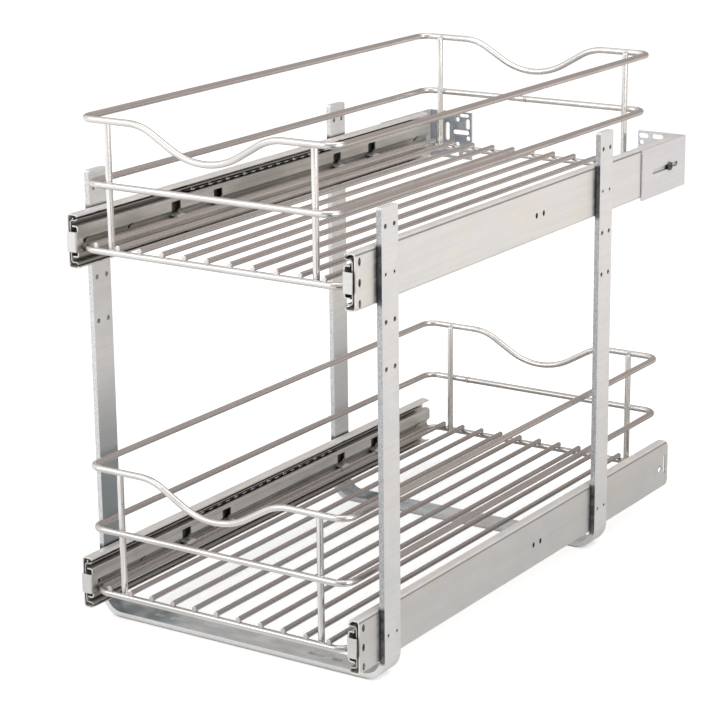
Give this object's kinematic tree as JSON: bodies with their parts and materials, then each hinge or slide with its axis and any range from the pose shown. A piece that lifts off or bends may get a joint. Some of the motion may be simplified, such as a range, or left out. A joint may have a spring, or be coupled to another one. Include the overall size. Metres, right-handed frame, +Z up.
{
  "type": "pull out cabinet basket",
  "caption": "Pull out cabinet organiser: stacked wire baskets on full extension ball bearing slides, riveted to a frame of U straps with rear fixing brackets.",
  "frame": {"origin": "middle of the assembly in plan, at the underside of the strap feet", "axes": "+Z up, -Y the front, where the baskets pull out, and +X the right-hand side seen from the front"},
  "size_m": [0.292, 0.573, 0.4447],
  "materials": {
    "strap_steel": "bright zinc plate",
    "slide_steel": "zinc plate",
    "bracket_steel": "zinc plate",
    "runner_steel": "zinc plate",
    "inner_member_steel": "zinc plate",
    "wire_nickel": "satin nickel",
    "cage_steel": "rolled",
    "ball_steel": "polished",
    "fastener_steel": "zinc plate"
  },
  "bodies": {
    "frame": {"front_strap": "strap_steel", "rear_strap": "strap_steel", "slide_rivets": "fastener_steel", "left_rear_bracket": "bracket_steel", "right_rear_bracket": "bracket_steel", "bracket_screws": "fastener_steel", "lower_left_outer_member": "slide_steel", "lower_right_outer_member": "slide_steel", "upper_left_outer_member": "slide_steel", "upper_right_outer_member": "slide_steel"},
    "lower_basket": {"lower_left_inner_member": "inner_member_steel", "lower_right_inner_member": "inner_member_steel", "lower_base_rail": "wire_nickel", "lower_floor_wires": "wire_nickel", "lower_uprights": "wire_nickel", "lower_mid_rail": "wire_nickel", "lower_top_rail": "wire_nickel"},
    "lower_runners": {"lower_left_runner": "runner_steel", "lower_right_runner": "runner_steel"},
    "lower_outer_cages": {"lower_left_outer_cage": "cage_steel", "lower_right_outer_cage": "cage_steel", "lower_outer_balls": "ball_steel"},
    "lower_inner_cages": {"lower_left_inner_cage": "cage_steel", "lower_right_inner_cage": "cage_steel", "lower_inner_balls": "ball_steel"},
    "upper_basket": {"upper_left_inner_member": "inner_member_steel", "upper_right_inner_member": "inner_member_steel", "upper_base_rail": "wire_nickel", "upper_floor_wires": "wire_nickel", "upper_uprights": "wire_nickel", "upper_mid_rail": "wire_nickel", "upper_top_rail": "wire_nickel"},
    "upper_runners": {"upper_left_runner": "runner_steel", "upper_right_runner": "runner_steel"},
    "upper_outer_cages": {"upper_left_outer_cage": "cage_steel", "upper_right_outer_cage": "cage_steel", "upper_outer_balls": "ball_steel"},
    "upper_inner_cages": {"upper_left_inner_cage": "cage_steel", "upper_right_inner_cage": "cage_steel", "upper_inner_balls": "ball_steel"}
  },
  "joints": [
    {"name": "lower_basket_slide", "type": "slide", "parent": "frame", "child": "lower_basket", "axis": [0, -1, 0], "range_m": [0, 0.53]},
    {"name": "lower_runner_slide", "type": "slide", "parent": "frame", "child": "lower_runners", "axis": [0, -1, 0], "range_m": [0, 0.265]},
    {"name": "lower_outer_cage_slide", "type": "slide", "parent": "frame", "child": "lower_outer_cages", "axis": [0, -1, 0], "range_m": [0, 0.1325]},
    {"name": "lower_inner_cage_slide", "type": "slide", "parent": "frame", "child": "lower_inner_cages", "axis": [0, -1, 0], "range_m": [0, 0.3975]},
    {"name": "upper_basket_slide", "type": "slide", "parent": "frame", "child": "upper_basket", "axis": [0, -1, 0], "range_m": [0, 0.53]},
    {"name": "upper_runner_slide", "type": "slide", "parent": "frame", "child": "upper_runners", "axis": [0, -1, 0], "range_m": [0, 0.265]},
    {"name": "upper_outer_cage_slide", "type": "slide", "parent": "frame", "child": "upper_outer_cages", "axis": [0, -1, 0], "range_m": [0, 0.1325]},
    {"name": "upper_inner_cage_slide", "type": "slide", "parent": "frame", "child": "upper_inner_cages", "axis": [0, -1, 0], "range_m": [0, 0.3975]}
  ],
  "couplings": [
    {"joint": "lower_runner_slide", "follows": "lower_basket_slide", "ratio": 0.5},
    {"joint": "lower_outer_cage_slide", "follows": "lower_basket_slide", "ratio": 0.25},
    {"joint": "lower_inner_cage_slide", "follows": "lower_basket_slide", "ratio": 0.75},
    {"joint": "upper_runner_slide", "follows": "upper_basket_slide", "ratio": 0.5},
    {"joint": "upper_outer_cage_slide", "follows": "upper_basket_slide", "ratio": 0.25},
    {"joint": "upper_inner_cage_slide", "follows": "upper_basket_slide", "ratio": 0.75}
  ]
}
